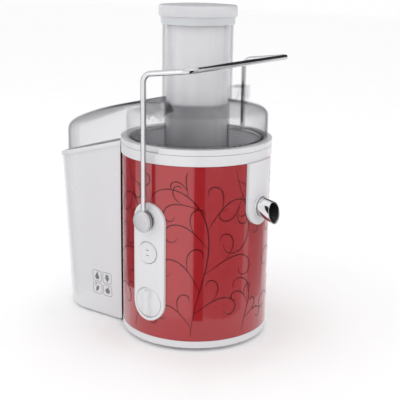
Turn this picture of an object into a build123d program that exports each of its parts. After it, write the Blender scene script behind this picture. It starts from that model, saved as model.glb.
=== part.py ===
from build123d import *

import os
from math import cos, radians, sin

# Centrifugal juicer, in millimetres. The origin is where the upright spin axis meets the table.
# +Z is up, the controls face -Y, the spout points to +X and the pulp container stands at -X.

# Driving dimensions
TUBE_BORE_R = 37.5  # the feed tube takes a whole apple
WALL = 2.5  # moulded plastic
GAP = 0.4  # clearance between pieces that move apart
BODY_R = 86.0
BAND_R = 87.0
FOOT_H = 4.0
BASE_TOP = 12.0
SLEEVE_TOP = 213.0
BAND_TOP = 225.0
RIM_TOP = 231.0
LID_R = 81.7
LID_SHOULDER = 256.0
LID_EDGE_R = 9.0  # round between the lid's side and its roof
LID_TOP = 270.0
TUBE_TOP = 365.6
TUBE_FOOT = 186.0
PUSHER_TOP = 379.0
PIVOT_Z = 150.0
ARM_Y = 96.0
ARM_KNEE_Z = 310.0
ARM_BAR_X = 62.0
ARM_BAR_Z = 318.0
WIRE_R = 3.0
PILL_WIDTH = 42.0
PILL_R = 89.5
BUTTON_Z = 112.0
DIAL_Z = 53.0
SPOUT_X, SPOUT_Z, SPOUT_SLOPE = 87.0, 163.0, 15.0
SPOUT_R, SPOUT_BORE_R = 10.0, 9.0
SPOUT_MOUTH_R, SPOUT_REACH = 11.5, 21.0  # the tube flares towards its mouth
BIN_HALF_WIDTH = 61.0
BIN_END_X = -129.0  # centre of the container's round end
BIN_OUTER_TOP = 192.0  # rim height at the outer end
BIN_RIM_SLOPE = 14.9  # degrees; the rim climbs towards the body
BIN_DRAFT = 2.5
BIN_FOOT_R = 6.0  # round along the bottom edge
BIN_GAP = 0.7  # between the container and the widest part of the body
DUCT_HALF_WIDTH = 54.0
DUCT_EDGE_R = 12.0  # round between the duct's side and its roof
DECK_Z = 140.0  # underside of the floor between motor and bowl
BOWL_Z = 150.0
SHAFT_R = 4.0
RUN = 0.05  # radial clearance of a running fit

TUBE_R = TUBE_BORE_R + WALL
THROAT_R = 38.0  # outside of the feed tube where it passes down through the lid
THROAT_BORE_R = THROAT_R - 2.2
PUSHER_R = THROAT_BORE_R - 0.5
SLEEVE_R = BODY_R - 1.0  # inside of the decorated sleeve
SHELL_R = SLEEVE_R - 0.2
SHELL_BORE = SHELL_R - WALL
HUB_R, NECK_R = 12.15, 10.8
HUB_Y = (91.8, 95.6, 100.0)  # back of the neck, back of the disc, face of the disc

STAND = (Align.CENTER, Align.CENTER, Align.MIN)


def disc(radius, z0, z1):
    """An upright cylinder on the spin axis."""
    return Pos(0, 0, z0) * Cylinder(radius, z1 - z0, align=STAND)


def ring(r_out, r_in, z0, z1):
    return disc(r_out, z0, z1) - disc(r_in, z0, z1)


def turned(points):
    """A solid of revolution from (radius, height) points."""
    return revolve(make_face(Plane.XZ * Polyline(*points, close=True)), Axis.Z)


def block(x0, x1, y0, y1, z0, z1):
    return Pos((x0 + x1) / 2, (y0 + y1) / 2, (z0 + z1) / 2) * Box(x1 - x0, y1 - y0, z1 - z0)


def front_pin(radius, z, y0, y1):
    """A cylinder that points to the front, from y0 to y1 in front of the spin axis."""
    return Rot(90, 0, 0) * Pos(0, z, y0) * Cylinder(radius, y1 - y0, align=STAND)


def to_rear(shape):
    return mirror(shape, about=Plane.XZ)


def both_sides(shape):
    return [shape, to_rear(shape)]


def around(shape, count, start=0.0):
    """Copies of a shape, turned evenly about the spin axis."""
    return [Rot(0, 0, start + 360.0 * i / count) * shape for i in range(count)]


def sector(r_out, r_in, z0, z1, centre, width):
    """A piece of an upright ring, centre and width in degrees."""
    reach = 2.0 * r_out
    half = radians(width / 2)
    tip = (reach * cos(half), reach * sin(half))
    wedge = make_face(Polyline((0, 0), tip, (tip[0], -tip[1]), close=True))
    cut = Pos(0, 0, z0) * extrude(wedge, z1 - z0)
    return Rot(0, 0, centre) * (ring(r_out, r_in, z0, z1) & cut)


def on_spout_axis(shape):
    """Lays a shape built along +Z on the spout's axis, pointing out and down."""
    return Pos(SPOUT_X, 0, SPOUT_Z) * Rot(0, 90 + SPOUT_SLOPE, 0) * shape


def pill(z0, z1, r_in, r_out, square_top=False):
    """A plate with round ends that wraps round the front of the body."""
    outline = Pos(0, (z0 + z1) / 2) * SlotOverall(z1 - z0, PILL_WIDTH, rotation=90)
    if square_top:
        half = PILL_WIDTH / 2
        outline += Pos(0, z1 - half) * Rectangle(PILL_WIDTH, PILL_WIDTH)
    prism = Rot(90, 0, 0) * extrude(outline, r_out + 10)
    return prism & ring(r_out, r_in, z0, z1)


# ---------------------------------------------------------------- base and casing

FOOT_RADIUS = 64.0
SCREW_RADIUS, SCREW_TURN = 76.0, 22.5
VENT_COUNT = 16
GLAND_Z = 28.0


def base_plate():
    plate = disc(BODY_R, FOOT_H, FOOT_H + 3) + ring(BODY_R, SHELL_BORE, FOOT_H + 3, BASE_TOP)
    vents = around(block(26, 50, -1.6, 1.6, FOOT_H, FOOT_H + 3), VENT_COUNT)
    screws = around(Pos(SCREW_RADIUS, 0, 0) * disc(1.8, FOOT_H, BASE_TOP), 4, SCREW_TURN)
    return plate - vents - screws


def feet():
    foot = Pos(FOOT_RADIUS, 0, 0) * turned([(0, 0), (10, 0), (12, 1.5), (12, FOOT_H), (0, FOOT_H)])
    return around(foot, 4, 45)


def base_screws():
    screw = disc(1.75, FOOT_H, BASE_TOP + 8) + disc(3.2, FOOT_H - 1.6, FOOT_H)
    return around(Pos(SCREW_RADIUS, 0, 0) * screw, 4, SCREW_TURN)


def casing_holes():
    """What passes through the casing: button, dial shaft, pivots, spout and cord."""
    button = front_pin(12.9, BUTTON_Z, 70, 95)
    dial = front_pin(3.6, DIAL_Z, 70, 95)
    pivots = both_sides(front_pin(6.0, PIVOT_Z, 70, 92))
    spout = on_spout_axis(Pos(0, 0, -12) * Cylinder(SPOUT_R + 0.7, 30, align=STAND))
    cord = to_rear(front_pin(6.0, GLAND_Z, 70, 95))
    return [button, dial, *pivots, spout, cord]


def motor_housing():
    shell = ring(SHELL_R, SHELL_BORE, BASE_TOP, DECK_Z + 3)
    deck = disc(SHELL_R, DECK_Z, DECK_Z + 3) - disc(12, DECK_Z, DECK_Z + 3)
    post = ring(4.0, 1.75, BASE_TOP, BASE_TOP + 22)
    bosses = around(Pos(SCREW_RADIUS, 0, 0) * post, 4, SCREW_TURN)
    web = block(79, SHELL_R - 1, -1, 1, BASE_TOP, BASE_TOP + 22)
    return shell + deck + bosses + around(web, 4, SCREW_TURN) - casing_holes()


def bowl_housing():
    return ring(SHELL_R, SHELL_BORE, DECK_Z + 3, SLEEVE_TOP) - casing_holes()


def red_sleeve():
    sleeve = ring(BODY_R, SLEEVE_R, BASE_TOP + 0.2, SLEEVE_TOP - 0.2)
    return sleeve - casing_holes()


def top_band():
    return ring(BAND_R, SHELL_BORE, SLEEVE_TOP, BAND_TOP)


def control_pill():
    plate = pill(32, 169, BODY_R + 0.1, PILL_R)
    pivot_boss = front_pin(13, PIVOT_Z, BODY_R + 1, 91.2)
    dial_pocket = front_pin(DIAL_R + GAP, DIAL_Z, DIAL_POCKET_Y, 95)
    return plate + pivot_boss - dial_pocket - casing_holes()


def rear_pivot_boss():
    plate = to_rear(pill(124, 176, BODY_R + 0.1, PILL_R))
    boss = to_rear(front_pin(13, PIVOT_Z, BODY_R + 1, 91.2))
    return plate + boss - casing_holes()


def spout_bezel():
    plate = Rot(0, 0, 90) * pill(141, SLEEVE_TOP, BODY_R + 0.1, PILL_R, square_top=True)
    return plate - casing_holes()


def cord_gland():
    body = front_pin(6.0, GLAND_Z, 80, 86) + front_pin(8.5, GLAND_Z, 86.2, 89.5)
    neck = front_pin(6.0, GLAND_Z, 85, 88) + front_pin(8.5, GLAND_Z, 79.5, 81.5)
    return to_rear(body + neck - front_pin(3.6, GLAND_Z, 75, 92))


# ---------------------------------------------------------------- controls

DIAL_R = 17.4
DIAL_POCKET_Y = 86.9  # floor of the panel's round pocket


def power_button():
    cap = front_pin(12.25, BUTTON_Z, 83, 90.3)
    stem = front_pin(4.0, BUTTON_Z, 72, 84)
    return cap + stem


def power_switch():
    return block(-11, 11, -69.4, -55.2, BUTTON_Z - 14, BUTTON_Z + 14)


def dial_knob():
    """A low dome let into the panel, with an upright ridge to grip."""
    back = DIAL_POCKET_Y + GAP
    dome = turned([(0, back), (DIAL_R, back), (DIAL_R, 88.6), (9, 90.0), (0, 90.4)])
    dome = Rot(90, 0, 0) * Pos(0, DIAL_Z, 0) * dome
    flank = Polyline((-5.5, -back), (-2.2, -94.5), (2.2, -94.5), (5.5, -back), close=True)
    ridge = Pos(0, 0, DIAL_Z - DIAL_R) * extrude(make_face(flank), 2 * DIAL_R)
    return dome + (ridge & front_pin(DIAL_R - 1, DIAL_Z, back, 96)) - front_pin(3.0, DIAL_Z, 85, 92)


def dial_shaft():
    return front_pin(3.0, DIAL_Z, 74, 92)


def speed_switch():
    return front_pin(14, DIAL_Z, 60, 73.5) + block(-12, 12, -66, -55.2, DIAL_Z - 15, DIAL_Z + 15)


def circuit_board():
    board = block(-26, 26, -55, -53.4, 30, 132)
    chips = [block(x, x + 9, -53.4, -48, z, z + 12) for x in (-20, 4) for z in (40, 88)]
    return board + chips


def capacitor():
    return Pos(-48, 44, 0) * (disc(9, FOOT_H + 3, 42) + disc(2, 42, 45))


def interlock_switches():
    """Small switches that the arm's cams hold closed while the lid is locked."""
    return both_sides(block(-7, 7, -81.6, -76.6, 160.6, 172))


# ---------------------------------------------------------------- locking arm


def arm_path():
    return FilletPolyline(
        (0, -ARM_Y, PIVOT_Z + 4),
        (0, -ARM_Y, ARM_KNEE_Z),
        (ARM_BAR_X, -ARM_Y, ARM_BAR_Z),
        (ARM_BAR_X, ARM_Y, ARM_BAR_Z),
        (0, ARM_Y, ARM_KNEE_Z),
        (0, ARM_Y, PIVOT_Z + 4),
        radius=10,
    )


def arm_wire():
    section = Plane(origin=(0, -ARM_Y, PIVOT_Z + 4), z_dir=(0, 0, 1)) * Circle(WIRE_R)
    return sweep(section, path=arm_path())


def arm_hubs():
    hub = front_pin(NECK_R, PIVOT_Z, *HUB_Y[:2]) + front_pin(HUB_R, PIVOT_Z, *HUB_Y[1:])
    hub = hub - front_pin(SHAFT_R, PIVOT_Z, 90, 94)
    socket = Pos(0, -ARM_Y, PIVOT_Z + 4) * Cylinder(WIRE_R, 20, align=STAND)
    return both_sides(hub - socket)


def hub_caps():
    return both_sides(front_pin(10.8, PIVOT_Z, HUB_Y[2], HUB_Y[2] + 1.0))


def arm_axles():
    return both_sides(front_pin(SHAFT_R, PIVOT_Z, 77.5, 94))


def arm_bushes():
    bush = front_pin(6.0, PIVOT_Z, 82.0, 91.0) - front_pin(SHAFT_R + RUN, PIVOT_Z, 80, 93)
    return both_sides(bush)


def arm_cams():
    """Keepers on the inner ends of the axles; the lobe holds the interlock switch closed."""
    lobe = block(-2.5, 2.5, -80.5, -78, PIVOT_Z, PIVOT_Z + 10)
    cam = front_pin(7, PIVOT_Z, 78, 80.5) + lobe - front_pin(SHAFT_R, PIVOT_Z, 77, 82)
    return both_sides(cam)


# ---------------------------------------------------------------- motor

CORE_R, CORE_BORE, CORE_Z0, CORE_Z1 = 39.0, 22.0, 60.0, 100.0
SLOT_OUT, SLOT_IN = 33.0, 24.0
POLE_SPAN = 110.0  # degrees between a coil's two sides
SIDE_SPAN = 20.0
BRACKET_R = 36.0  # circle of the posts that join brackets and core
POST_R = 2.6
MOUNT_R = 50.0


def slot_sectors(z0, z1):
    angles = [a + s * POLE_SPAN / 2 for a in (0, 180) for s in (-1, 1)]
    return [sector(SLOT_OUT, SLOT_IN, z0, z1, a, SIDE_SPAN) for a in angles]


def stator_core():
    core = ring(CORE_R, CORE_BORE, CORE_Z0, CORE_Z1)
    mouths = around(block(20, 26, -2, 2, CORE_Z0, CORE_Z1), 4, POLE_SPAN / 2)
    return core - slot_sectors(CORE_Z0, CORE_Z1) - mouths[0]


def field_coils():
    coils = []
    for pole in (0, 180):
        sides = [pole - POLE_SPAN / 2, pole + POLE_SPAN / 2]
        turns = [sector(SLOT_OUT, SLOT_IN, z, z + 8, pole, POLE_SPAN + SIDE_SPAN)
                 for z in (CORE_Z0 - 8, CORE_Z1)]
        legs = [sector(SLOT_OUT, SLOT_IN, CORE_Z0, CORE_Z1, a, SIDE_SPAN) for a in sides]
        coils.append(turns[0] + turns[1] + legs)
    return coils


def rotor_core():
    slots = around(block(16, 23, -1.2, 1.2, CORE_Z0 + 1, CORE_Z1 - 1), 12)
    return ring(21.3, SHAFT_R, CORE_Z0 + 1, CORE_Z1 - 1) - slots


def commutator():
    grooves = around(block(11, 13, -0.3, 0.3, 40, 52), 24)
    return ring(12, SHAFT_R, 40, 52) - grooves


def motor_shaft():
    return disc(SHAFT_R, 20, 166)


def brush_holders():
    tube = block(14, 32, -5, 5, 41.5, 50.5) - block(14, 29, -3.5, 3.5, 43, 49)
    return [Rot(0, 0, a) * tube for a in (90, 270)]


def carbon_brushes():
    brush = block(12.4, 28, -3.4, 3.4, 43.1, 48.9)
    return [Rot(0, 0, a) * brush for a in (90, 270)]


def lower_bracket():
    plate = disc(38.5, 30, 33) - around(Pos(24, 0, 0) * disc(5, 30, 33), 4)
    shelf = [Rot(0, 0, a) * block(16, 36, -5, 5, 33, 41.5) for a in (90, 270)]
    cup = ring(13.5, 10, 21, 33)
    posts = around(Pos(BRACKET_R, 0, 0) * disc(POST_R, 33, CORE_Z0), 4, 45)
    return plate + cup + shelf + posts - disc(10, 21, 33) + ring(13.5, 6, 20, 21)


def lower_bearing():
    return ring(10, SHAFT_R + RUN, 22, 30)


def upper_bracket():
    plate = disc(38.5, 112, 115)
    arms = around(block(30, MOUNT_R, -6, 6, 112, 115), 4, 45)
    ends = around(Pos(MOUNT_R, 0, 0) * disc(7.5, 112, 115), 4, 45)
    cup = disc(13.5, 112, 122)
    posts = around(Pos(BRACKET_R, 0, 0) * disc(POST_R, CORE_Z1, 112), 4, 45)
    holes = around(Pos(25, 0, 0) * disc(5.5, 112, 115), 6)
    return plate + arms + ends + cup + posts - holes - disc(10, 113.5, 122) - disc(6, 112, 114)


def upper_bearing():
    return ring(10, SHAFT_R + RUN, 113.5, 121.5)


def cooling_fan():
    hub = ring(9, SHAFT_R, 124, 135)
    back = ring(36, SHAFT_R, 124, 125.5)
    blade = block(8.5, 35, -0.7, 0.7, 125.5, 135)
    return hub + back + around(blade, 11)


def motor_mounts():
    mount = turned([(0, 115), (7, 115), (5, 121), (5, 133), (7, DECK_Z), (0, DECK_Z)])
    return around(Pos(MOUNT_R, 0, 0) * mount, 4, 45)


def shaft_seal():
    return ring(12, SHAFT_R + RUN, DECK_Z, DECK_Z + 3) + ring(14, SHAFT_R + RUN, 143, 145.5)


# ---------------------------------------------------------------- bowl and spout

BOWL_R_LOW, BOWL_R_TOP = 74.0, 80.0
SKIRT_R = 77.2  # lid's locating skirt
COLLAR_R = 21.0


def juice_bowl():
    outside = turned([(0, BOWL_Z), (BOWL_R_LOW, BOWL_Z), (BOWL_R_TOP, BAND_TOP),
                      (BAND_R, BAND_TOP), (BAND_R, RIM_TOP), (0, RIM_TOP)])
    inside = turned([(0, BOWL_Z + WALL), (BOWL_R_LOW - WALL, BOWL_Z + WALL),
                     (SKIRT_R + 0.3, BAND_TOP - 2), (SKIRT_R + 0.3, RIM_TOP), (0, RIM_TOP)])
    collar = ring(COLLAR_R + WALL, COLLAR_R, BOWL_Z, 167)
    notch = both_sides(block(-12.5, 12.5, -90, -83.5, BAND_TOP, RIM_TOP))
    spout = on_spout_axis(Pos(0, 0, -20) * Cylinder(SPOUT_R, 30, align=STAND))
    return outside - inside - disc(COLLAR_R, BOWL_Z, 170) + collar - notch - spout


def spout_tube():
    """Steel tube whose mouth is cut on the slant, so that the lower lip reaches further."""
    wall, past = SPOUT_R - SPOUT_BORE_R, 1.5 * SPOUT_REACH
    flare = 1.5 * (SPOUT_MOUTH_R - SPOUT_R)
    tube = turned([(SPOUT_BORE_R, -14.6), (SPOUT_R, -14.6), (SPOUT_R, 0), (SPOUT_R + flare, past),
                   (SPOUT_R + flare - wall, past), (SPOUT_BORE_R, 0)])
    slant = radians(25)
    mouth = Plane(origin=(0, 0, SPOUT_REACH), z_dir=(-sin(slant), 0, cos(slant)))
    return on_spout_axis(split(tube, bisect_by=mouth, keep=Keep.BOTTOM))


def spout_collar():
    boss = Pos(0, 0, SPOUT_Z - 1) * Rot(0, 90, 0) * Cylinder(12.8, PILL_R + 1.5, align=STAND)
    return boss - disc(PILL_R, 100, 200) - on_spout_axis(Cylinder(SPOUT_R + 0.8, 30))


# ---------------------------------------------------------------- basket and drive

GRATER_Z = 176.0


def drive_coupling():
    body = disc(17, 147, 168) + disc(30, 168, 171.5)
    lugs = around(block(18, 26, -3, 3, 171.5, 174), 3)
    return body + lugs - disc(SHAFT_R, 146, 166)


def basket_base():
    base = turned([(0, 171.5), (44, 171.5), (54, GRATER_Z), (54, 178.5), (50.4, 178.5),
                   (50.4, GRATER_Z), (0, GRATER_Z)])
    pockets = around(block(18, 26, -3, 3, 171.5, 174), 3)
    return base - pockets


def grater_disc():
    plate = disc(50.2, GRATER_Z, GRATER_Z + 1)
    tooth = Rot(0, 0, 8) * block(-0.6, 0.6, -1.8, 1.8, GRATER_Z + 1, GRATER_Z + 2.6)
    teeth = []
    for row, (radius, count) in enumerate(((18, 8), (28, 12), (38, 16), (46, 20))):
        teeth += around(Pos(radius, 0, 0) * tooth, count, row * 7)
    return plate + teeth + disc(8, GRATER_Z + 1, GRATER_Z + 4)


def filter_basket():
    return turned([(53.2, 178.5), (54, 178.5), (72.6, 227), (71.8, 227)])


def basket_rim():
    return turned([(71.8, 227), (72.6, 227), (74.4, 226.2), (74.4, RIM_TOP), (72.6, RIM_TOP)])


# ---------------------------------------------------------------- lid, duct and pusher

EAR_TOP = 281.0


def rim_plane(rise=0.0):
    """The sloping plane that the container's rim lies in, raised by a gap."""
    slope = radians(BIN_RIM_SLOPE)
    origin = (BIN_END_X - BIN_HALF_WIDTH, 0, BIN_OUTER_TOP + rise)
    return Plane(origin=origin, x_dir=(cos(slope), 0, sin(slope)), z_dir=(-sin(slope), 0, cos(slope)))


def below_rim(rise=0.0):
    """Everything under the rim's plane, as a large block."""
    return rim_plane(rise) * Box(600, 400, 300, align=(Align.CENTER, Align.CENTER, Align.MAX))


def duct_volume(inset):
    """The duct over the container, or its hollow when inset by the wall."""
    end = BIN_END_X - DUCT_HALF_WIDTH + inset
    half = DUCT_HALF_WIDTH - inset
    wide, inner_x = 60.4 - inset, -45.0 - inset
    plan = make_face(Curve() + [
        Line((BIN_END_X, -half), (-62, -wide)),
        Line((-62, -wide), (inner_x, -wide)),
        Line((inner_x, -wide), (inner_x, wide)),
        Line((inner_x, wide), (-62, wide)),
        Line((-62, wide), (BIN_END_X, half)),
        ThreePointArc((BIN_END_X, half), (end, 0), (BIN_END_X, -half)),
    ])
    prism = extrude(plan, 300)
    low, high = 224.0 - inset, LID_TOP - 2.0 - inset
    side = make_face(Plane.XZ * (Curve() + [
        Line((end - 1, 150), (end - 1, low)),
        ThreePointArc((end - 1, low), (-130, 249.0 - inset), (-60, high)),
        Line((-60, high), (inner_x + 5, high)),
        Line((inner_x + 5, high), (inner_x + 5, 150)),
        Line((inner_x + 5, 150), (end - 1, 150)),
    ]))
    body = (prism & extrude(side, 100, both=True)).solids()[0]
    roof = [face for face in body.faces() if face.normal_at().Z > 0.3]
    crest = [e for face in roof for e in face.edges() if abs(e.center().Y) > 30 or e.center().X < -150]
    return fillet(crest, DUCT_EDGE_R - inset)


def ear():
    """Lug at the front of the lid that the arm's leg locks over: two ribs and a cover."""
    profile = Plane.YZ * Polyline((-60, 266.5), (-70, EAR_TOP), (-92.5, EAR_TOP), (-92.5, 266),
                                  (-80.6, 258), (-75, 264), close=True)
    ribs = [Pos(x, 0, 0) * extrude(make_face(profile), 2.4) for x in (-4, 11.6)]
    cover = block(-4, 14, -92.5, -90.1, 266, EAR_TOP) + block(-4, 14, -92.5, -70, EAR_TOP - 2.4, EAR_TOP)
    return cover + ribs


def lid_form(inset, z0):
    """The lid's round outer form, or its hollow when inset by the wall."""
    edge, side = LID_EDGE_R - inset, LID_R - inset
    centre_x = LID_R - LID_EDGE_R
    bend = [(centre_x + edge * cos(radians(a)), LID_SHOULDER + edge * sin(radians(a))) for a in (40, 80)]
    top = LID_TOP + 0.5 - inset
    return revolve(make_face(Plane.XZ * (Curve() + [
        Line((0, z0), (side, z0)),
        Line((side, z0), (side, LID_SHOULDER)),
        ThreePointArc((side, LID_SHOULDER), *bend),
        Polyline(bend[1], (TUBE_R, top), (0, top), (0, z0)),
    ])), Axis.Z)


def lid():
    outside = lid_form(0, RIM_TOP + 0.3)
    inside = lid_form(WALL, 235) + turned([(0, 226), (SKIRT_R - 2, 226), (SKIRT_R - 2, 232.5),
                                           (LID_R - WALL, 235), (0, 235)])
    skirt = disc(SKIRT_R, 226.5, RIM_TOP + 0.3)
    duct = duct_volume(0) - below_rim(0.6) - disc(BAND_R + 1.2, 100, RIM_TOP + 0.3)
    shell = outside + skirt + duct - inside - duct_volume(WALL)
    return shell + both_sides(ear()) - disc(THROAT_R + 0.1, 180, 300)


def feed_tube():
    """Wide mouth above the lid, and a slightly narrower throat down to the grater."""
    return turned([(THROAT_BORE_R, TUBE_FOOT), (THROAT_R, TUBE_FOOT), (THROAT_R, LID_TOP + 0.6),
                   (TUBE_R + 1.6, LID_TOP + 0.6), (TUBE_R + 1.6, LID_TOP + 2.2),
                   (TUBE_R, LID_TOP + 2.8), (TUBE_R, TUBE_TOP), (TUBE_BORE_R, TUBE_TOP),
                   (TUBE_BORE_R, LID_TOP + 5), (THROAT_BORE_R, LID_TOP)])


def pusher_body():
    return disc(PUSHER_R, TUBE_FOOT + 4, 368) - disc(PUSHER_R - 2, TUBE_FOOT + 6.5, 368)


def pusher_cap():
    """Stepped cap: its lower tier slips over the top of the feed tube."""
    low, high = TUBE_R + 1.5, TUBE_R + 4
    return turned([(0, 368), (PUSHER_R, 368), (PUSHER_R, 366.2),
                   (TUBE_R + GAP, 366.2), (TUBE_R + GAP, 357.5), (low, 357.5), (low, 366),
                   (high, 366), (high, 376.5), (high - 2, 378.3), (30, PUSHER_TOP), (0, PUSHER_TOP)])


# ---------------------------------------------------------------- pulp container


def bin_volume(inset, z0):
    """The container's outer form, or its hollow when inset by the wall."""
    drop = BIN_OUTER_TOP - z0
    half = BIN_HALF_WIDTH - inset - drop * sin(radians(BIN_DRAFT))
    plan = Pos(BIN_END_X, 0) * Circle(half) + Pos(BIN_END_X / 2, 0) * Rectangle(-BIN_END_X, 2 * half)
    form = Pos(0, 0, z0) * extrude(plan, 250 - z0, taper=-BIN_DRAFT)
    return form - disc(BAND_R + BIN_GAP + max(inset, 0), -1, 260)


def pulp_container():
    outside = (bin_volume(0, 0.2) & below_rim()).solids()[0]
    outside = fillet(outside.edges().group_by(Axis.Z)[0], BIN_FOOT_R)
    lip = (bin_volume(-1.8, 0.2) & below_rim()) - below_rim(-5)
    hollow = bin_volume(WALL, 3.2).solids()[0]
    hollow = fillet(hollow.edges().group_by(Axis.Z)[0], BIN_FOOT_R - WALL)
    return outside + lip - hollow


NODES = [
    base_plate, feet, base_screws, motor_housing, bowl_housing, red_sleeve, top_band, control_pill,
    rear_pivot_boss, spout_bezel, cord_gland, power_button, power_switch, dial_knob, dial_shaft,
    speed_switch, circuit_board, capacitor, interlock_switches, arm_wire, arm_hubs, hub_caps,
    arm_axles, arm_bushes, arm_cams, stator_core, field_coils, rotor_core, commutator,
    motor_shaft, brush_holders, carbon_brushes, lower_bracket, lower_bearing, upper_bracket,
    upper_bearing, cooling_fan, motor_mounts, shaft_seal, juice_bowl, spout_tube, spout_collar,
    drive_coupling, basket_base, grater_disc, filter_basket, basket_rim, lid, feed_tube, pusher_body,
    pusher_cap, pulp_container,
]

os.makedirs("parts", exist_ok=True)
for node in NODES:
    made = node()
    solids = [s for piece in (made if isinstance(made, list) else [made]) for s in piece.solids()]
    export_step(solids[0] if len(solids) == 1 else Compound(children=solids), f"parts/{node.__name__}.step")
    print(node.__name__, len(solids))
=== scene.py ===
# %% [markdown]
# A centrifugal juicer: a round red body on a white base, a clear lid with a wide feed tube, a
# chrome arm that locks the lid down, a steel spout and a white container that catches the pulp.
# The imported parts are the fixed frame. Every piece below is made where the frame says, in metres,
# and rides on one of its bodies, so the arm, lid, basket and dial can move.
# %% Load the frame
from math import cos, pi, radians, sin, tan

import bmesh
import bpy
from mathutils import Matrix, Vector


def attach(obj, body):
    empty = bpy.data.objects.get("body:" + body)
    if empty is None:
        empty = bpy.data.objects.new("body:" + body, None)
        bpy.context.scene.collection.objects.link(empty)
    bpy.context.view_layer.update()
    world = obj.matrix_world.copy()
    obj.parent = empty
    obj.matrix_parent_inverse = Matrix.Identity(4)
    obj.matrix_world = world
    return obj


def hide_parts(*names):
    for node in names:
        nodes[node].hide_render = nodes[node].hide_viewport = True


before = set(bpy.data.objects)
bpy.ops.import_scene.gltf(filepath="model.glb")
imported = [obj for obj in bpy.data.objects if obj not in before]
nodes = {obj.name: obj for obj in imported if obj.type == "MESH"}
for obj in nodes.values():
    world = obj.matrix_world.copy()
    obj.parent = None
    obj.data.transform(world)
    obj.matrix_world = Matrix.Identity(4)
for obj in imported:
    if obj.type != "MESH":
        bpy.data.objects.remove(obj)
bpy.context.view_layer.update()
MM = 0.001

# %% [markdown]
# Most of the juicer is moulded plastic, turned metal or a mix of both. A few short helpers cover
# the ways of shaping them: a section spun about an axis for everything round, and a copied part
# with its small edges eased for mouldings whose shape is already right. Real edges are never
# sharp, and the thin light line that an eased edge catches is what makes a part look moulded.
# %% Helpers for making a piece
SMOOTH_ANGLE = radians(28)


def finish_piece(name, bm, body, material, stands_for=(), flip_check=True):
    """Turns the working mesh into a piece that rides on a body."""
    if flip_check:
        bmesh.ops.recalc_face_normals(bm, faces=bm.faces)
    mesh = bpy.data.meshes.new(name)
    bm.to_mesh(mesh)
    bm.free()
    mesh.shade_smooth()
    mesh.set_sharp_from_angle(angle=SMOOTH_ANGLE)
    piece = bpy.data.objects.new(name, mesh)
    bpy.context.scene.collection.objects.link(piece)
    piece.data.materials.append(material)
    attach(piece, body)
    if stands_for:
        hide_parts(*stands_for)
    print(name, len(mesh.polygons), "faces on", body)
    return piece


def ease_edges(bm, width, segments=3, sharper_than=35):
    """Rounds every edge where the surface turns by more than the angle."""
    limit = radians(sharper_than)
    edges = [e for e in bm.edges if len(e.link_faces) == 2 and e.calc_face_angle(0) > limit]
    bmesh.ops.bevel(bm, geom=edges, offset=width, segments=segments, profile=0.5,
                    affect="EDGES", clamp_overlap=True, material=-1)


def section_loop(bm, points):
    """A closed section in the XZ plane from (radius, height) points in millimetres."""
    corners = [bm.verts.new((r * MM, 0, z * MM)) for r, z in points]
    return corners + [bm.edges.new((a, b)) for a, b in zip(corners, corners[1:] + corners[:1])]


def spun(points, steps=128, ease=0.4, segments=3, sharper_than=35):
    """A round solid: a section spun a full turn about the upright axis, with eased edges."""
    bm = bmesh.new()
    section = section_loop(bm, points)
    bmesh.ops.spin(bm, geom=section, cent=(0, 0, 0), axis=(0, 0, 1), angle=2 * pi,
                   steps=steps, use_merge=True, use_duplicate=False)
    bmesh.ops.remove_doubles(bm, verts=bm.verts, dist=1e-6)
    bmesh.ops.dissolve_degenerate(bm, edges=bm.edges, dist=1e-7)
    bmesh.ops.recalc_face_normals(bm, faces=bm.faces)
    if ease:
        ease_edges(bm, ease * MM, segments, sharper_than)
    return bm


def place(bm, *moves):
    """Applies transforms to the whole working mesh, in order."""
    for move in moves:
        bmesh.ops.transform(bm, matrix=move, verts=bm.verts)
    return bm


def to_front(z_mm):
    """Turns a shape spun about +Z so that it points to the front (-Y) at a height."""
    return Matrix.Translation((0, 0, z_mm * MM)) @ Matrix.Rotation(pi / 2, 4, "X")


def mirrored_copy(bm):
    """Adds the rear twin of a front piece."""
    geom = bm.verts[:] + bm.edges[:] + bm.faces[:]
    twin = bmesh.ops.duplicate(bm, geom=geom)["geom"]
    verts = [v for v in twin if isinstance(v, bmesh.types.BMVert)]
    bmesh.ops.scale(bm, vec=(1, -1, 1), verts=verts)
    bmesh.ops.recalc_face_normals(bm, faces=bm.faces)
    return bm


def eased_copy(node, width, segments=2, sharper_than=40):
    """A copy of a part's mesh, merged into clean faces, with its edges eased."""
    bm = bmesh.new()
    bm.from_mesh(nodes[node].data)
    bmesh.ops.remove_doubles(bm, verts=bm.verts, dist=2e-6)
    bmesh.ops.dissolve_limit(bm, angle_limit=radians(0.6), verts=bm.verts, edges=bm.edges)
    if width:
        ease_edges(bm, width * MM, segments, sharper_than)
    return bm


# %% [markdown]
# Moulded plastic is never one flat colour. It has a faint cloudiness, a gloss that changes a
# little where it has been wiped, and a very fine orange-peel texture from the mould. All three
# come from noise read in object coordinates, each at its real scale.
# %% Plastic finishes
def new_material(name):
    material = bpy.data.materials.new(name)
    material.use_nodes = True
    tree = material.node_tree
    return material, tree, tree.nodes["Principled BSDF"]


def noise(tree, scale, detail=4.0, roughness=0.55, stretch=(1, 1, 1)):
    """Noise in object coordinates, stretched along an axis where the finish has a grain."""
    where = tree.nodes.new("ShaderNodeTexCoord")
    mapping = tree.nodes.new("ShaderNodeMapping")
    mapping.inputs["Scale"].default_value = stretch
    texture = tree.nodes.new("ShaderNodeTexNoise")
    texture.inputs["Scale"].default_value = scale
    texture.inputs["Detail"].default_value = detail
    texture.inputs["Roughness"].default_value = roughness
    tree.links.new(where.outputs["Object"], mapping.inputs["Vector"])
    tree.links.new(mapping.outputs["Vector"], texture.inputs["Vector"])
    return texture.outputs["Fac"]


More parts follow.
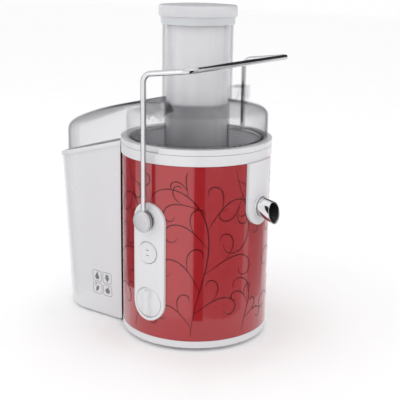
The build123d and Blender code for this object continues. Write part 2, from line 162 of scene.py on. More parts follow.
def blend_colour(tree, factor, low, high, start=0.3, end=0.7):
    ramp = tree.nodes.new("ShaderNodeValToRGB")
    ramp.color_ramp.elements[0].position = start
    ramp.color_ramp.elements[1].position = end
    ramp.color_ramp.elements[0].color = (*low, 1)
    ramp.color_ramp.elements[1].color = (*high, 1)
    tree.links.new(factor, ramp.inputs["Fac"])
    return ramp.outputs["Color"]


def spread(tree, factor, low, high, taken=(0.3, 0.7)):
    """Maps a factor, by default the middle of a noise, onto a range such as a roughness."""
    node = tree.nodes.new("ShaderNodeMapRange")
    node.inputs["From Min"].default_value, node.inputs["From Max"].default_value = taken
    node.inputs["To Min"].default_value = low
    node.inputs["To Max"].default_value = high
    tree.links.new(factor, node.inputs["Value"])
    return node.outputs["Result"]


def add_bump(tree, shader, factor, strength, distance_mm):
    bump = tree.nodes.new("ShaderNodeBump")
    bump.inputs["Strength"].default_value = strength
    bump.inputs["Distance"].default_value = distance_mm * MM
    tree.links.new(factor, bump.inputs["Height"])
    tree.links.new(bump.outputs["Normal"], shader.inputs["Normal"])


def plastic(name, low, high, rough, peel=0.10, coat=0.0):
    material, tree, shader = new_material(name)
    cloud = noise(tree, 14, 3)
    tree.links.new(blend_colour(tree, cloud, low, high), shader.inputs["Base Color"])
    wipe = noise(tree, 55, 5)
    tree.links.new(spread(tree, wipe, rough * 0.95, rough * 1.06), shader.inputs["Roughness"])
    add_bump(tree, shader, noise(tree, 1600, 2), peel, 0.03)
    shader.inputs["IOR"].default_value = 1.49
    shader.inputs["Coat Weight"].default_value = coat
    shader.inputs["Coat Roughness"].default_value = 0.06
    return material


white_plastic = plastic("white moulded plastic", (0.68, 0.675, 0.69), (0.695, 0.69, 0.705), 0.26, 0.03)
button_plastic = plastic("white button plastic", (0.66, 0.66, 0.675), (0.68, 0.68, 0.695), 0.36, 0.03)
black_plastic = plastic("black plastic", (0.012, 0.012, 0.013), (0.03, 0.03, 0.032), 0.42)
print("plastics ready")

# %% [markdown]
# The lid and the feed tube are clear moulded plastic with a slight smoky tint. A clear part needs a
# real wall with two surfaces, because the smoke between them darkens it by the length of wall that
# light crosses: little in the middle, much at the outline. Most light goes straight through, so
# what stands behind stays readable. The hollow pusher is milkier than the tube, with soft streaks
# along its length where the plastic flowed.
# %% Clear and frosted plastics
GLANCING_SOLIDITY = 0.15


def clear(name, tint, rough, smoke, solidity):
    """Tinted clear plastic. The smoke darkens a wall by its length of path. Solidity is how far a
    surface seen square on bends and mirrors light; it rises towards a glancing view."""
    material, tree, shader = new_material(name)
    shader.inputs["Base Color"].default_value = (*tint, 1)
    shader.inputs["Transmission Weight"].default_value = 1.0
    shader.inputs["IOR"].default_value = 1.25
    glancing = tree.nodes.new("ShaderNodeLayerWeight")
    glancing.inputs["Blend"].default_value = 0.3
    alpha = spread(tree, glancing.outputs["Facing"], solidity, GLANCING_SOLIDITY, (0, 1))
    tree.links.new(alpha, shader.inputs["Alpha"])
    flow = noise(tree, 9, 3, stretch=(6, 6, 1))
    tree.links.new(spread(tree, flow, rough * 0.5, rough * 1.5), shader.inputs["Roughness"])
    shader.inputs["Coat Weight"].default_value = 0.8
    shader.inputs["Coat Roughness"].default_value = 0.03
    haze = tree.nodes.new("ShaderNodeVolumeAbsorption")
    haze.inputs["Color"].default_value = (0.28, 0.265, 0.30, 1)
    haze.inputs["Density"].default_value = smoke
    tree.links.new(haze.outputs["Volume"], tree.nodes["Material Output"].inputs["Volume"])
    return material


def milky(name, low, high, solidity):
    """Thin milky plastic with vertical streaks where it is denser."""
    material, tree, shader = new_material(name)
    flow = noise(tree, 11, 3, 0.5, stretch=(3.4, 3.4, 0.12))
    tree.links.new(blend_colour(tree, flow, low, high, 0.35, 0.65), shader.inputs["Base Color"])
    tree.links.new(spread(tree, flow, solidity * 1.15, solidity * 0.85), shader.inputs["Alpha"])
    shader.inputs["Roughness"].default_value = 0.3
    shader.inputs["Coat Weight"].default_value = 0.5
    return material


clear_lid = clear("clear lid plastic", (0.97, 0.96, 0.98), 0.03, 52.0, 0.03)
clear_tube = clear("clear tube plastic", (0.98, 0.975, 0.99), 0.03, 34.0, 0.04)
milky_pusher = milky("milky pusher plastic", (0.88, 0.87, 0.91), (0.985, 0.98, 0.995), 0.82)


def frosted(name):
    material, tree, shader = new_material(name)
    cloud = noise(tree, 20, 3)
    tree.links.new(blend_colour(tree, cloud, (0.76, 0.755, 0.78), (0.80, 0.795, 0.82)),
                   shader.inputs["Base Color"])
    shader.inputs["Transmission Weight"].default_value = 0.25
    shader.inputs["Subsurface Weight"].default_value = 0.15
    shader.inputs["Subsurface Scale"].default_value = 0.01
    tree.links.new(spread(tree, noise(tree, 60), 0.28, 0.4), shader.inputs["Roughness"])
    add_bump(tree, shader, noise(tree, 900, 2), 0.08, 0.05)
    return material


frosted_cap = frosted("frosted cap plastic")
print("clear plastics ready")

# %% [markdown]
# The metals differ mostly in how they were finished. The arm is polished and chromed, so it only
# mirrors its room. The hub discs are satin. The basket is brushed sheet, and the brushing follows
# the way it was turned, so its fine streaks run around the axis.
# %% Metals
def metal(name, low, high, rough_low, rough_high, grain_scale, stretch=(1, 1, 1), bump=0.05):
    material, tree, shader = new_material(name)
    shader.inputs["Metallic"].default_value = 1.0
    grain = noise(tree, grain_scale, 6, 0.6, stretch)
    tree.links.new(blend_colour(tree, grain, low, high), shader.inputs["Base Color"])
    tree.links.new(spread(tree, grain, rough_low, rough_high), shader.inputs["Roughness"])
    add_bump(tree, shader, grain, bump, 0.05)
    return material


chrome = metal("polished chrome", (0.56, 0.555, 0.57), (0.62, 0.615, 0.63), 0.05, 0.10, 90, bump=0.01)
satin = metal("satin silver", (0.46, 0.46, 0.475), (0.53, 0.53, 0.545), 0.30, 0.42, 700, bump=0.08)
steel = metal("brushed steel", (0.42, 0.42, 0.43), (0.62, 0.62, 0.63), 0.22, 0.38, 260,
              stretch=(1, 1, 14))
sheet_steel = metal("turned sheet steel", (0.74, 0.74, 0.76), (0.92, 0.92, 0.94), 0.38, 0.52, 300,
                    stretch=(0.3, 0.3, 12))
bronze = metal("sintered bronze", (0.38, 0.24, 0.10), (0.55, 0.36, 0.17), 0.35, 0.55, 900, bump=0.2)
copper = metal("enamelled copper", (0.45, 0.15, 0.06), (0.68, 0.27, 0.12), 0.25, 0.4, 500,
               stretch=(1, 1, 6), bump=0.3)
sheet_iron = metal("stacked sheet iron", (0.12, 0.12, 0.13), (0.24, 0.24, 0.26), 0.4, 0.6, 120,
                   stretch=(0.2, 0.2, 16), bump=0.4)
cast_alloy = metal("die-cast alloy", (0.40, 0.40, 0.42), (0.52, 0.52, 0.54), 0.45, 0.6, 350, bump=0.3)
rubber = plastic("black rubber", (0.015, 0.015, 0.015), (0.035, 0.035, 0.035), 0.7, peel=0.4)
board_green = plastic("circuit board", (0.02, 0.10, 0.04), (0.03, 0.15, 0.06), 0.4)
carbon = plastic("pressed carbon", (0.02, 0.02, 0.022), (0.05, 0.05, 0.055), 0.6, peel=0.4)
print("metals ready")

# %% [markdown]
# The body is wrapped in a metallic red film. Its pigment holds tiny bright flakes under a clear
# layer, so it has a soft wide sheen and a sharp one on top. The flakes are a fine cell pattern
# that shifts the colour a little, and slow noise makes the red drift from warm to wine.
# %% Red metallic film
def red_film_material(name, low, high):
    material, tree, shader = new_material(name)
    drift = noise(tree, 7, 2, stretch=(1, 1, 0.35))
    base = blend_colour(tree, drift, low, high)
    flakes = tree.nodes.new("ShaderNodeTexVoronoi")
    flakes.inputs["Scale"].default_value = 2600
    where = tree.nodes.new("ShaderNodeTexCoord")
    tree.links.new(where.outputs["Object"], flakes.inputs["Vector"])
    sparkle = blend_colour(tree, flakes.outputs["Distance"], (1.0, 0.94, 0.94), (0.90, 0.86, 0.86),
                           0.1, 0.8)
    mix = tree.nodes.new("ShaderNodeMixRGB")
    mix.blend_type = "MULTIPLY"
    mix.inputs["Fac"].default_value = 1.0
    tree.links.new(base, mix.inputs["Color1"])
    tree.links.new(sparkle, mix.inputs["Color2"])
    tree.links.new(mix.outputs["Color"], shader.inputs["Base Color"])
    tree.links.new(spread(tree, noise(tree, 40, 4), 0.30, 0.40), shader.inputs["Roughness"])
    shader.inputs["Metallic"].default_value = 0.15
    shader.inputs["Specular IOR Level"].default_value = 0.2
    shader.inputs["Coat Weight"].default_value = 1.0
    shader.inputs["Coat IOR"].default_value = 1.6
    shader.inputs["Coat Roughness"].default_value = 0.05
    return material


red_film = red_film_material("red metallic film", (0.35, 0.009, 0.014), (0.39, 0.012, 0.019))
print("red film ready")

# %% [markdown]
# The decorated sleeve is a thin tube between the white base and the white top band. A spun section
# is the natural way to make it, because its gloss shows every flaw: 192 steps keep the outline
# round, and the eased top and bottom edges give the thin line where the film is folded in.
# %% Red sleeve
BODY_R, SLEEVE_LOW, SLEEVE_TOP = 86.0, 12.2, 212.8
sleeve = spun([(85.0, SLEEVE_LOW), (BODY_R, SLEEVE_LOW), (BODY_R, SLEEVE_TOP), (85.0, SLEEVE_TOP)],
              steps=192, ease=0.3)
finish_piece("red_sleeve_film", sleeve, "casing", red_film, ["red_sleeve"])

# %% [markdown]
# Scrolls are printed on the film in a darker red of the same kind. A stem sways gently and winds up
# at its tip, curls leave it on both sides and bend ever more towards their own tips, and a small
# shoot leaves every curl. The strokes are drawn flat and are then wrapped round the body.
# %% Scroll print
PRINT_LOW, PRINT_HIGH = 17.0, 208.0
AROUND = 2 * pi * BODY_R
STEP = 1.3
STROKE_HALF = 0.72
SWAY = 13
CURL_LEAVES, CURL_TURNS = 42, 320
SHOOT_LEAVES, SHOOT_TURNS, SHOOT_SHARE, SHOOT_SIZE = 28, 235, 0.3, 0.5


def stroke(u, z, heading, length, turning, power=1, sway=0):
    """Points of one line on the unrolled film, which turns ever faster up to the angle given. A
    sway in degrees makes it an S before it winds up."""
    points = []
    for i in range(int(length / STEP) + 1):
        share = i * STEP / length
        points.append((u, z, heading))
        heading += STEP * turning * (power + 1) / length * share ** power
        heading += STEP * sway * 2 * pi / length * cos(2 * pi * share)
        u += STEP * cos(radians(heading))
        z += STEP * sin(radians(heading))
        if not PRINT_LOW < z < PRINT_HIGH:
            break
    return points


def scroll(u, z, heading, length, turning, curls):
    """A stem that winds up late, with open curls to both sides and a small shoot on each curl."""
    stem = stroke(u, z, heading, length, turning, 4, -SWAY if turning > 0 else SWAY)
    lines = [stem]
    for share, side, size in curls:
        su, sz, sh = stem[int(share * (len(stem) - 1))]
        curl = stroke(su, sz, sh + side * CURL_LEAVES, size, side * CURL_TURNS, 1.8)
        lines.append(curl)
        tu, tz, th = curl[int(SHOOT_SHARE * (len(curl) - 1))]
        lines.append(stroke(tu, tz, th - side * SHOOT_LEAVES, size * SHOOT_SIZE,
                            -side * SHOOT_TURNS, 1.2))
    return lines


# Start round the body, height, heading, length, turning, curls (share, side, length).
SCROLLS = [
    (50, 18, 88, 232, 200, [(0.05, 1, 76), (0.12, -1, 84), (0.24, 1, 92), (0.33, -1, 98),
                            (0.45, 1, 90), (0.55, -1, 92), (0.66, 1, 70), (0.74, -1, 62)]),
    (100, 207, -80, 128, -215, [(0.10, 1, 56), (0.24, -1, 62), (0.42, 1, 56)]),
    (112, 18, 84, 92, 240, [(0.18, -1, 50), (0.36, 1, 48)]),
]
REPEATS = 4


def all_strokes():
    lines = []
    for k in range(REPEATS):
        for u, z, heading, length, turning, curls in SCROLLS:
            lines += scroll(u + k * AROUND / REPEATS, z, heading, length, turning, curls)
    return lines


def ribbon(bm, line, half_width):
    """One stroke as a thin raised ribbon, widest in the middle and pointed at its start."""
    low, high = [], []
    for i, (u, z, heading) in enumerate(line):
        share = i / (len(line) - 1)
        half = half_width * min(0.45 + 1.4 * share, 1.0, 0.35 + 4 * (1 - share))
        across = radians(heading + 90)
        for row, sign in ((low, -1), (high, 1)):
            row.append(bm.verts.new((u + sign * half * cos(across), z + sign * half * sin(across), 0)))
    for i in range(len(line) - 1):
        bm.faces.new((low[i], low[i + 1], high[i + 1], high[i]))


def wrapped_print(lift=0.05, thick=0.03):
    bm = bmesh.new()
    for line in all_strokes():
        if len(line) > 6:
            ribbon(bm, line, STROKE_HALF)
    bmesh.ops.solidify(bm, geom=bm.faces[:], thickness=thick)
    for v in bm.verts:
        angle = v.co.x / BODY_R - pi / 2
        reach = (BODY_R + lift + v.co.z) * MM
        v.co = (reach * cos(angle), reach * sin(angle), v.co.y * MM)
    return bm


print_ink = red_film_material("dark red print", (0.18, 0.005, 0.009), (0.22, 0.008, 0.013))
finish_piece("scroll_print", wrapped_print(), "casing", print_ink)

# %% [markdown]
# The base ring, the top band and the bowl's rim are white mouldings that stack up with fine
# shadow lines between them. The rim is notched at the front and back, where the arm's legs pass.
# The base keeps its vents and screw holes, so it is a copy of the part with eased edges.
# %% Base, band and bowl
base = eased_copy("base_plate", 0.8)
finish_piece("base_moulding", base, "casing", white_plastic, ["base_plate"])

band = spun([(82.3, 213.0), (87.0, 213.0), (87.0, 224.7), (82.3, 224.7)], steps=192, ease=0.9)
finish_piece("white_top_band", band, "casing", white_plastic, ["top_band"])

bowl = eased_copy("juice_bowl", 0.7)
finish_piece("juice_bowl_moulding", bowl, "casing", white_plastic, ["juice_bowl"])

# %% [markdown]
# The control panel is a long pill that wraps round the front, and the spout has a similar one that
# hangs from the top band. Both are bent plates with a rounded edge. Their outlines are exact in
# the part, so each is a copy whose rim is eased wide enough to catch a bright line.
# %% Curved panels
panel = eased_copy("control_pill", 0.9, segments=3)
finish_piece("control_panel", panel, "casing", white_plastic, ["control_pill"])
rear_panel = eased_copy("rear_pivot_boss", 0.9, segments=3)
finish_piece("rear_panel", rear_panel, "casing", white_plastic,
             ["rear_pivot_boss"])
spout_panel = eased_copy("spout_bezel", 0.9, segments=3)
finish_piece("spout_panel", spout_panel, "casing", white_plastic, ["spout_bezel"])

# %% [markdown]
# The container is a tall white bin with a round outer end, a hollow inner face that hugs the body
# and a rim that slopes down and away. The copy is cleaned into large faces first, so that easing
# its edges rounds the foot and the rim evenly.
# %% Pulp container
container = eased_copy("pulp_container", 1.0, segments=3)
finish_piece("container_moulding", container, "container", white_plastic,
             ["pulp_container"])

# %% [markdown]
# Four small pictures of fruit are printed low on the container's front side, two by two, each in a
# square with round corners. Every picture is a few flat discs, moved and tapered, and the whole
# print is laid on the wall, which leans outwards by its moulding draft.
# %% Fruit pictures
ICON, ICON_PITCH, DRAFT = 14.2, 16.2, radians(2.5)
PRINT_X, PRINT_Z, WALL_Y = -99.5, 43.0, -54.62
GROW = ICON / 10.4


def flat_disc(bm, u, w, rx, rz, taper=0.0, lean=0.0):
    """A flat oval; a taper narrows its lower half."""
    made = bmesh.ops.create_circle(bm, cap_ends=True, radius=1.0, segments=28)["verts"]
    for v in made:
        narrow = 1 - taper * max(0.0, -v.co.y)
        v.co.x *= rx * narrow
        v.co.y *= rz
    turn = Matrix.Translation((u, w, 0)) @ Matrix.Rotation(lean, 4, "Z")
    bmesh.ops.transform(bm, matrix=turn, verts=made)


def picture_frame(bm, u, w, line=0.5, corner=2.6):
    """A thin square line with round corners, as a strip between two rounded squares."""
    rings = []
    for half, bend in ((ICON / 2, corner), (ICON / 2 - line, corner - line)):
        ring = []
        for quarter in range(4):
            cx = (half - bend) * (1 if quarter in (0, 3) else -1)
            cy = (half - bend) * (1 if quarter in (0, 1) else -1)
            for i in range(6):
                angle = radians(90 * quarter + 18 * i)
                ring.append(bm.verts.new((u + cx + bend * cos(angle), w + cy + bend * sin(angle), 0)))
        rings.append(ring)
    outer, inner = rings
    for i in range(len(outer)):
        after = (i + 1) % len(outer)
        bm.faces.new((outer[i], outer[after], inner[after], inner[i]))


# Flat ovals: which square, centre, half sizes, taper, lean. Pear, strawberry, carrot and tomato.
FRUIT = [
    (-1, 1, 0.0, -1.2, 2.4, 2.2, 0.0, 0.0), (-1, 1, 0.0, 1.0, 1.3, 1.9, 0.0, 0.0),
    (-1, 1, 1.0, 3.4, 0.9, 0.4, 0.0, 0.9),
    (1, 1, 0.0, -0.5, 2.3, 3.0, 0.75, 0.0), (1, 1, -0.9, 2.7, 1.1, 0.5, 0.0, 0.4),
    (1, 1, 0.9, 2.7, 1.1, 0.5, 0.0, -0.4),
    (-1, -1, -0.3, -0.5, 1.6, 3.5, 0.75, -0.5), (-1, -1, -1.9, 3.2, 1.2, 0.5, 0.0, 0.9),
    (1, -1, 0.0, -0.4, 2.7, 2.5, 0.0, 0.0), (1, -1, 0.9, 2.8, 1.2, 0.45, 0.0, 0.5),
]


def fruit_pictures():
    bm = bmesh.new()
    half = ICON_PITCH / 2
    for column in (-1, 1):
        for row in (-1, 1):
            picture_frame(bm, column * half, row * half)
    for column, row, u, w, rx, rz, taper, lean in FRUIT:
        flat_disc(bm, column * half + u * GROW, row * half + w * GROW, rx * GROW, rz * GROW, taper, lean)
    bmesh.ops.solidify(bm, geom=bm.faces[:], thickness=0.12)
    scale = Matrix.Diagonal((MM, MM, MM, 1))
    stand = Matrix.Rotation(pi / 2 + DRAFT, 4, "X")
    return place(bm, scale, stand, Matrix.Translation((PRINT_X * MM, WALL_Y * MM, PRINT_Z * MM)))


grey_ink = plastic("grey print", (0.16, 0.16, 0.18), (0.22, 0.22, 0.24), 0.4, peel=0.02)
finish_piece("fruit_pictures", fruit_pictures(), "container", grey_ink)

# %% [markdown]
# The lid and its duct are one clear moulding with an even wall. The copy keeps both surfaces of
# the wall and is only merged and smoothed, because bevels inside clear plastic scatter light.
# The feed tube is spun, with a thick flange where it stands on the lid.
# %% Clear lid and feed tube
lid_shell = eased_copy("lid", 0.0)
finish_piece("clear_lid_shell", lid_shell, "lid", clear_lid, ["lid"], False)

TUBE_SECTION = [(35.8, 186), (38, 186), (38, 270.6), (41.6, 270.6), (41.6, 272.2), (40, 272.8),
                (40, 365.6), (37.5, 365.6), (37.5, 275), (35.8, 270)]
tube = spun(TUBE_SECTION, steps=128, ease=0.5, segments=2)
finish_piece("clear_feed_tube", tube, "lid", clear_tube, ["feed_tube"])

# %% [markdown]
# The pusher is a hollow cup of milky plastic under a stepped, frosted cap. The cap's lower tier
# slips over the mouth of the tube. Its top is slightly domed so that a palm can press on it.
# %% Pusher
cup = spun([(0, 190), (35.3, 190), (35.3, 367.9), (33.3, 367.9), (33.3, 192.5), (0, 192.5)],
           steps=128, ease=0.8)
finish_piece("pusher_cup", cup, "pusher", milky_pusher, ["pusher_body"])

cap = spun([(0, 368), (35.3, 368), (35.3, 366.2), (40.4, 366.2), (40.4, 357.5), (41.5, 357.5),
            (41.7, 366), (44, 366.2), (44, 376.0), (42.6, 378.0), (30, 378.8), (0, 379)],
           steps=128, ease=0.5, sharper_than=25)
finish_piece("pusher_cap_frosted", cap, "pusher", frosted_cap, ["pusher_cap"])

# %% [markdown]
# The arm is one bent steel wire: two legs, two short runs towards the spout side and a cross bar.
# A real bender makes straight runs and tangent arcs, and so does this: a ring of vertices is
# extruded along each run and spun round each bend, which keeps the wire perfectly round.
# %% Locking arm
WIRE_R, ARM_Y, LEG_FOOT, KNEE_Z, BAR_X, BAR_Z, BEND_R = 3.0, 96.0, 154.0, 310.0, 62.0, 318.0, 10.0


def wire_route():
    """The corners of the bent wire, from the front hub to the rear one."""
    front = [(0, -ARM_Y, LEG_FOOT), (0, -ARM_Y, KNEE_Z), (BAR_X, -ARM_Y, BAR_Z)]
    rear = [(x, -y, z) for x, y, z in reversed(front)]
    return [Vector(p) * MM for p in front + rear]


def bent_wire(corners, radius, bend, sides=24, bend_steps=10):
    bm = bmesh.new()
    heading = (corners[1] - corners[0]).normalized()
    start = Matrix.Translation(corners[0]) @ heading.to_track_quat("Z", "X").to_matrix().to_4x4()
    bmesh.ops.create_circle(bm, cap_ends=True, radius=radius, segments=sides, matrix=start)
    tip = bm.faces[:]
    place_now = corners[0].copy()
    for i in range(1, len(corners)):
        goal = corners[i]
        turn = None
        if i < len(corners) - 1:
            after = (corners[i + 1] - goal).normalized()
            turn = heading.angle(after)
            goal = goal - heading * bend * tan(turn / 2)
        grown = bmesh.ops.extrude_face_region(bm, geom=tip)["geom"]
        bmesh.ops.delete(bm, geom=tip, context="FACES_ONLY")
        verts = [g for g in grown if isinstance(g, bmesh.types.BMVert)]
        bmesh.ops.translate(bm, verts=verts, vec=goal - place_now)
        tip = [g for g in grown if isinstance(g, bmesh.types.BMFace)]
        place_now = goal
        if turn:
            axis = heading.cross(after).normalized()
            centre = goal + axis.cross(heading) * bend
            edges = list({e for f in tip for e in f.edges})
            arc = bmesh.ops.spin(bm, geom=tip + edges + verts, cent=centre, axis=axis, angle=turn,
                                 steps=bend_steps, use_merge=False, use_duplicate=False)
            last = arc["geom_last"]
            tip = [g for g in last if isinstance(g, bmesh.types.BMFace)]
            place_now = corners[i] + after * bend * tan(turn / 2)
            heading = after
    bmesh.ops.remove_doubles(bm, verts=bm.verts, dist=1e-6)
    return bm


wire = bent_wire(wire_route(), WIRE_R * MM, BEND_R * MM)
finish_piece("arm_wire_chromed", wire, "locking_arm", chrome, ["arm_wire"])

# %% [markdown]
# Each leg ends in a satin disc that turns on the pivot, carried by a neck in black plastic. The black
# is painted shade: it stands for the shadowed gap between the disc and the panel. The disc has a
# generous round on its outer face and a shallow cap let into it. One of each is spun at the front,
# then mirrored to the rear.
# %% Hubs and hub caps
PIVOT_Z = 150.0
hub = spun([(0, 95.6), (12.15, 95.6), (12.15, 100), (0, 100)], steps=96, ease=0.9, segments=4)
place(hub, to_front(PIVOT_Z))
finish_piece("hub_discs", mirrored_copy(hub), "locking_arm", satin, ["arm_hubs"])
# The neck's black plastic is painted shade for the gap behind each disc.
neck = spun([(0, 91.8), (10.6, 91.8), (11.4, 95.5), (0, 95.5)], steps=96, ease=0.2)
place(neck, to_front(PIVOT_Z))
finish_piece("hub_necks_painted_shade", mirrored_copy(neck), "locking_arm", black_plastic)
hub_cap = spun([(0, 99.4), (10.6, 99.4), (10.6, 100.35), (9.6, 100.7), (5, 100.95), (0, 101)],
               steps=96, ease=0.2)
place(hub_cap, to_front(PIVOT_Z))
finish_piece("hub_cap_discs", mirrored_copy(hub_cap), "locking_arm", satin,
             ["hub_caps"])

# %% [markdown]
# The power button is a nearly flush round cap with a raised rim and two small dashes. The speed dial
# is a low dome let into the panel, with an upright ridge to grip whose ends die away into the dome.
# %% Button and dial
BUTTON_Z, DIAL_Z, DIAL_R = 112.0, 53.0, 17.4
button = spun([(0, 83), (12.25, 83), (12.25, 89.7), (11.7, 90.3), (10.4, 90.3), (9.7, 89.7),
               (5, 89.75), (0, 89.8)], steps=96, ease=0.25, sharper_than=20)
place(button, to_front(BUTTON_Z))
finish_piece("power_button_cap", button, "power_button", button_plastic,
             ["power_button"])

dial = spun([(0, 87.3), (DIAL_R, 87.3), (DIAL_R, 88.0), (16.7, 88.7), (9, 89.9), (0, 90.3)], steps=96,
            ease=0.3, sharper_than=25)
place(dial, to_front(DIAL_Z))
finish_piece("dial_dome", dial, "speed_dial", button_plastic, ["dial_knob"])


def bar_shape(size, where, crest_scale, round_edge):
    """A small block at a place, narrowed towards the front, with round edges."""
    bm = bmesh.new()
    bmesh.ops.create_cube(bm, size=1.0)
    place(bm, Matrix.Diagonal((*[v * MM for v in size], 1)))
    crest = [v for v in bm.verts if v.co.y < 0]
    bmesh.ops.scale(bm, vec=(crest_scale[0], 1, crest_scale[1]), verts=crest)
    bmesh.ops.bevel(bm, geom=bm.edges[:], offset=round_edge * MM, segments=4, profile=0.5,
                    affect="EDGES", clamp_overlap=True, material=-1)
    return place(bm, Matrix.Translation(Vector(where) * MM))


ridge = bar_shape((10.4, 5.6, 31.0), (0, -91.5, DIAL_Z), (0.42, 0.84), 1.4)
finish_piece("dial_ridge", ridge, "speed_dial", button_plastic)

for name, height in (("button_dash_upper", 2.9), ("button_dash_lower", -2.9)):
    dash = bar_shape((3.6, 0.2, 0.9), (0, -89.85, BUTTON_Z + height), (1, 1), 0.05)
    finish_piece(name, dash, "power_button", grey_ink)

# %% [markdown]
# The spout is a polished steel tube that flares a little towards its mouth. The mouth is cut on the
# slant, so juice leaves by the lower lip. The tube is spun with both walls, laid on its sloping
# axis, and the slanted cut is one plane through it, closed by a dark lining that starts inside.
# %% Spout
SPOUT_AT, SPOUT_TILT, SPOUT_REACH = Vector((87, 0, 163)) * MM, radians(90 + 15), 21.0
SPOUT_AXIS = Matrix.Translation(SPOUT_AT) @ Matrix.Rotation(SPOUT_TILT, 4, "Y")


def cut_on_the_slant(bm, reach):
    """Cuts away everything past the sloping mouth and closes the wall there."""
    slant = radians(25)
    normal = Vector((-sin(slant), 0, cos(slant)))
    geom = bm.verts[:] + bm.edges[:] + bm.faces[:]
    cut = bmesh.ops.bisect_plane(bm, geom=geom, plane_co=(0, 0, reach * MM), plane_no=normal,
                                 clear_outer=True)["geom_cut"]
    edges = [g for g in cut if isinstance(g, bmesh.types.BMEdge)]
    bmesh.ops.bridge_loops(bm, edges=edges)
    return bm


spout = spun([(9, -14.6), (10, -14.6), (10, 0), (12.25, 31.5), (11.25, 31.5), (9, 0)], steps=96, ease=0)
cut_on_the_slant(spout, SPOUT_REACH)
ease_edges(spout, 0.2 * MM, 2, 50)
place(spout, SPOUT_AXIS)
finish_piece("steel_spout", spout, "casing", chrome, ["spout_tube"])

lining = spun([(8.5, -14.4), (8.9, -14.4), (8.9, 0), (11.15, 31.5), (10.9, 31.5), (8.5, 0)], steps=64,
              ease=0)
cut_on_the_slant(lining, SPOUT_REACH - 0.6)
place(lining, SPOUT_AXIS)
finish_piece("spout_lining", lining, "casing", black_plastic)

collar = eased_copy("spout_collar", 0.5, segments=3)
finish_piece("spout_collar_ring", collar, "casing", white_plastic,
             ["spout_collar"])

# %% [markdown]
# The filter basket is a cone of thin sheet full of small holes. The holes are real: the cone is a
# grid of faces, each face is inset, its middle is deleted, and the sheet is then given thickness.
# %% Perforated basket
HOLES_AROUND, HOLE_ROWS = 150, 18


def perforated_cone(low, high):
    bm = bmesh.new()
    ends = [bm.verts.new((r * MM, 0, z * MM)) for r, z in (low, high)]
    side = bm.edges.new(ends)
    bmesh.ops.subdivide_edges(bm, edges=[side], cuts=HOLE_ROWS - 1)
    bmesh.ops.spin(bm, geom=bm.verts[:] + bm.edges[:], cent=(0, 0, 0), axis=(0, 0, 1),
                   angle=2 * pi, steps=HOLES_AROUND, use_merge=True, use_duplicate=False)
    bmesh.ops.recalc_face_normals(bm, faces=bm.faces)
    inset = bmesh.ops.inset_individual(bm, faces=bm.faces[:], thickness=0.55 * MM)
    rims = set(inset["faces"])
    bmesh.ops.delete(bm, geom=[f for f in bm.faces if f not in rims], context="FACES")
    bmesh.ops.solidify(bm, geom=bm.faces[:], thickness=0.5 * MM)
    return bm


basket = perforated_cone((53.7, 178.6), (72.3, 226.9))
finish_piece("basket_mesh", basket, "spinning_basket", sheet_steel,
             ["filter_basket"])
rim = spun([(71.8, 227), (72.6, 227), (74.4, 226.2), (74.4, 231), (72.6, 231)], steps=160, ease=0.4)
finish_piece("basket_rim_ring", rim, "spinning_basket", steel, ["basket_rim"])

# %% [markdown]
# The pieces inside the casing and under the lid keep their own parts. They only need a finish that
# suits what they are made of, so each takes its material here.
# %% Finishes for the parts that stay as they are
KEPT = {
    "feet": rubber, "base_screws": steel, "motor_housing": white_plastic,
    "bowl_housing": white_plastic, "cord_gland": rubber, "power_switch": black_plastic,
    "speed_switch": black_plastic, "circuit_board": board_green, "capacitor": black_plastic,
    "interlock_switches": black_plastic, "arm_axles": steel, "arm_bushes": bronze,
    "arm_cams": black_plastic, "stator_core": sheet_iron, "field_coils": copper,
    "rotor_core": sheet_iron, "commutator": copper, "motor_shaft": steel,
    "brush_holders": bronze, "carbon_brushes": carbon, "lower_bracket": cast_alloy,
    "lower_bearing": bronze, "upper_bracket": cast_alloy, "upper_bearing": steel,
    "cooling_fan": black_plastic, "motor_mounts": rubber, "shaft_seal": rubber,
    "drive_coupling": black_plastic, "basket_base": black_plastic, "grater_disc": steel,
    "dial_shaft": steel,
}
for name, material in KEPT.items():
    nodes[name].data.materials.clear()
    nodes[name].data.materials.append(material)
print(len(KEPT), "parts given their finish")

# %% [markdown]
# A plain pale floor and soft studio light, in a world as white as a light tent. Two tall panels of
# light stand left and right, and a large one overhead fills the lid and the cap. In so white a
# place a glossy body would look flat, so boards and a weak panel stand close round it. Only shiny
# parts mirror them: they draw the dark strip down the front and the dark line along the arm.
# %% Floor and lights
def stage_sheet(name, material, placement):
    """A flat unit square, stretched and placed, that belongs to the studio."""
    bm = bmesh.new()
    bmesh.ops.create_grid(bm, x_segments=1, y_segments=1, size=0.5)
    place(bm, placement)
    mesh = bpy.data.meshes.new(name)
    bm.to_mesh(mesh)
    bm.free()
    sheet = bpy.data.objects.new(name, mesh)
    bpy.context.scene.collection.objects.link(sheet)
    sheet.data.materials.append(material)
    return sheet


def facing(where, aim, size):
    """The placement of a sheet of a size that stands at a point and faces another."""
    turn = (Vector(aim) - Vector(where)).to_track_quat("Z", "Y").to_matrix().to_4x4()
    return Matrix.Translation(where) @ turn @ Matrix.Diagonal((*size, 1, 1))


def mirrored_card(name, material, where, size):
    """A matt board, upright and turned to the body's axis, that shiny parts mirror but that casts
    no shadow and isn't seen itself."""
    card = stage_sheet(name, material, facing(where, (0, 0, where[2]), size))
    card.visible_camera = card.visible_diffuse = card.visible_shadow = False


def panel_light(name, where, size, power, aim=(0, 0, 0.18), only_mirrored=False):
    light = bpy.data.lights.new(name, "AREA")
    light.shape = "RECTANGLE"
    light.size, light.size_y = size
    light.energy = power
    lamp = bpy.data.objects.new(name, light)
    lamp.location = where
    lamp.rotation_euler = (Vector(aim) - Vector(where)).to_track_quat("-Z", "Y").to_euler()
    lamp.visible_diffuse = not only_mirrored
    bpy.context.scene.collection.objects.link(lamp)


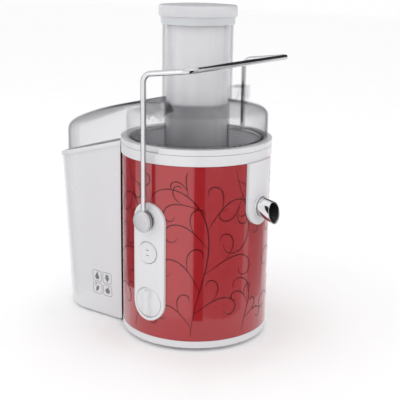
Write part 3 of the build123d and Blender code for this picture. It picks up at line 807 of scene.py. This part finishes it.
def around_body(azimuth, distance, height):
    """A point at degrees from the front towards the spout."""
    return (distance * sin(radians(azimuth)), -distance * cos(radians(azimuth)), height)


BOARD_MIDDLE, BOARD_HEIGHT = 0.165, 0.33
FLOOR_DROP, FLOOR_SIZE = 0.0004, 12

floor_white = plastic("pale floor", (0.97, 0.97, 0.97), (0.985, 0.985, 0.985), 0.7, peel=0.0)
stage_sheet("studio_floor", floor_white,
            Matrix.Translation((0, 0, -FLOOR_DROP)) @ Matrix.Diagonal((FLOOR_SIZE, FLOOR_SIZE, 1, 1)))
card_black = plastic("matt black card", (0.01, 0.01, 0.01), (0.016, 0.016, 0.016), 0.8, peel=0.0)
card_grey = plastic("matt grey card", (0.72, 0.72, 0.73), (0.75, 0.75, 0.76), 0.8, peel=0.0)
card_slate = plastic("matt slate card", (0.10, 0.10, 0.11), (0.12, 0.12, 0.13), 0.8, peel=0.0)
mirrored_card("card_behind", card_black, around_body(185, 1.0, 0.80), (1.9, 0.85))

# Boards close to the body: degrees from the front, distance from the axis, width.
for name, material, azimuth, distance, width in (
        ("card_front", card_black, 40, 0.14, 0.027), ("card_left", card_slate, -62, 0.19, 0.10),
        ("card_far_right", card_grey, 124, 0.165, 0.11), ("card_right", card_grey, 70, 0.14, 0.13)):
    mirrored_card(name, material, around_body(azimuth, distance, BOARD_MIDDLE), (width, BOARD_HEIGHT))

panel_light("left_panel", (-1.0, -1.3, 0.7), (0.7, 1.6), 2.0)
panel_light("right_panel", (1.7, -0.9, 0.8), (0.6, 1.6), 2.0)
panel_light("top_panel", (0.1, -0.2, 1.8), (1.6, 1.6), 3)
panel_light("low_left_panel", around_body(10, 0.14, BOARD_MIDDLE), (0.116, BOARD_HEIGHT), 0.03,
            (0, 0, BOARD_MIDDLE), only_mirrored=True)
world = bpy.data.worlds.new("light tent")
world.use_nodes = True
world.node_tree.nodes["Background"].inputs["Color"].default_value = (0.995, 0.995, 1.0, 1)
world.node_tree.nodes["Background"].inputs["Strength"].default_value = 1.0
bpy.context.scene.world = world
print("floor and lights ready")

# %% [markdown]
# The camera looks down at the juicer from its front right corner, between the controls and the
# spout, with a long lens, and leans by less than one degree.
# %% Camera
AZIMUTH, PITCH, ROLL = radians(36), radians(15.1), radians(0.84)
STAND_OFF, CAMERA_Z, YAW = 1.009, 0.426, radians(-0.29)
camera_data = bpy.data.cameras.new("studio camera")
camera_data.lens = 80.1
camera_data.sensor_width = 36.0
camera = bpy.data.objects.new("studio camera", camera_data)
bpy.context.scene.collection.objects.link(camera)
camera.location = (sin(AZIMUTH) * STAND_OFF, -cos(AZIMUTH) * STAND_OFF, CAMERA_Z)
heading = AZIMUTH + YAW
ahead = Vector((-sin(heading) * cos(PITCH), cos(heading) * cos(PITCH), -sin(PITCH)))
turn = ahead.to_track_quat("-Z", "Y").to_matrix() @ Matrix.Rotation(ROLL, 3, "Z")
camera.rotation_euler = turn.to_euler()
bpy.context.scene.camera = camera
bpy.context.scene.view_settings.view_transform = "Standard"
print("camera at", tuple(round(c, 3) for c in camera.location))
